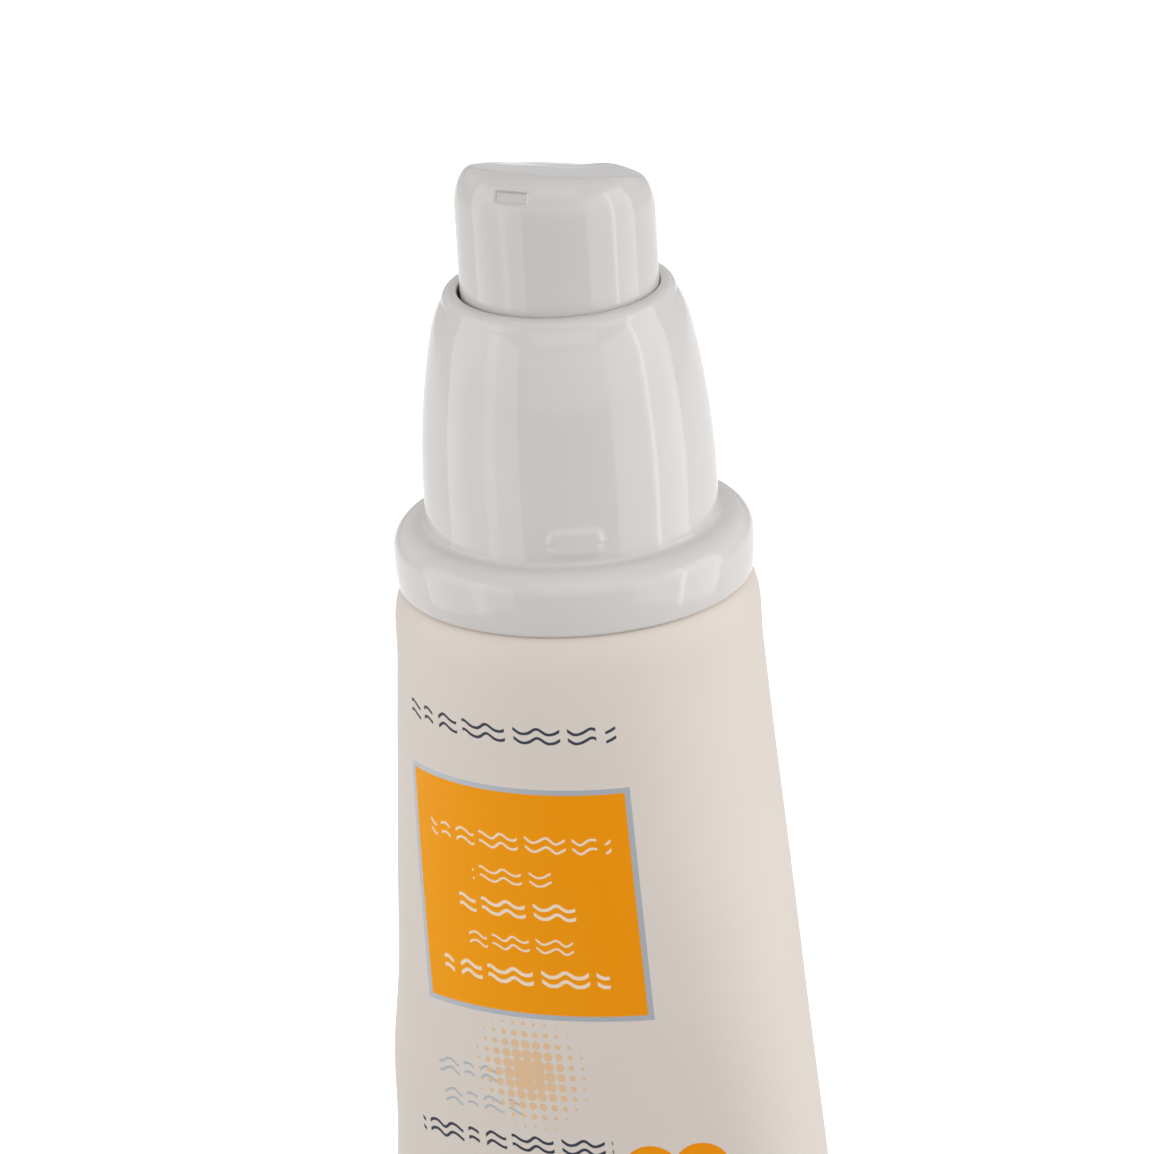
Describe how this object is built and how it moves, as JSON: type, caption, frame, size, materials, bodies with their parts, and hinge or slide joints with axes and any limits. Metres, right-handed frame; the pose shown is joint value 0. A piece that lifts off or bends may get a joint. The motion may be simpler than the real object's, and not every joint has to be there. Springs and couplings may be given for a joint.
{
  "type": "squeezable sunscreen tube with push pump",
  "caption": "Soft squeezable tube with a flat tail seal and a domed push pump: the sprung button slides and turns, the floating piston and inlet ball valve the cream.",
  "frame": {"origin": "middle of the end edge of the flat tail seal", "axes": "+Z along the tube from the tail seal to the pump's button; -Y is the printed front and the nozzle's side; the flat seal is wide along X"},
  "size_m": [0.055, 0.035, 0.1624],
  "materials": {
    "sleeve_film": "satin warm white polyethylene film with a printed front",
    "shoulder_plastic": "satin moulded polyethylene",
    "gasket_foam": "closed-cell foam",
    "natural_plastic": "uncoloured polypropylene",
    "ball_steel": "polished",
    "closure_plastic": "moulded polypropylene",
    "gloss_white": "glossy white polypropylene",
    "piston_plastic": "soft polyethylene",
    "spring_steel": "drawn wire",
    "nozzle_plastic": "glossy white polypropylene"
  },
  "bodies": {
    "tube": {"tube_sleeve": "sleeve_film", "tube_head": "shoulder_plastic", "neck_gasket": "gasket_foam", "pump_cylinder": "natural_plastic", "guide_bush": "natural_plastic", "screw_closure": "closure_plastic", "collar": "gloss_white", "return_spring": "spring_steel"},
    "plunger": {"stem": "natural_plastic", "stem_plug": "natural_plastic"},
    "floating_piston": {"piston": "piston_plastic"},
    "button": {"actuator_button": "gloss_white", "nozzle_insert": "nozzle_plastic"},
    "valve_ball": {"inlet_ball": "ball_steel"}
  },
  "joints": [
    {"name": "press", "type": "slide", "parent": "tube", "child": "plunger", "axis": [0, 0, -1], "range_m": [0, 0.0055], "stiffness_N_per_m": 1500, "springref_m": -0.005, "deforming": ["return_spring"]},
    {"name": "nozzle_turn", "type": "hinge", "parent": "plunger", "child": "button", "pos_m": [0, 0, 0.1467], "axis": [0, 0, 1], "continuous": true},
    {"name": "piston_float", "type": "slide", "parent": "plunger", "child": "floating_piston", "axis": [0, 0, 1], "range_m": [0, 0.0008]},
    {"name": "inlet_lift", "type": "slide", "parent": "tube", "child": "valve_ball", "axis": [0, 0, 1], "range_m": [0, 0.001]}
  ]
}
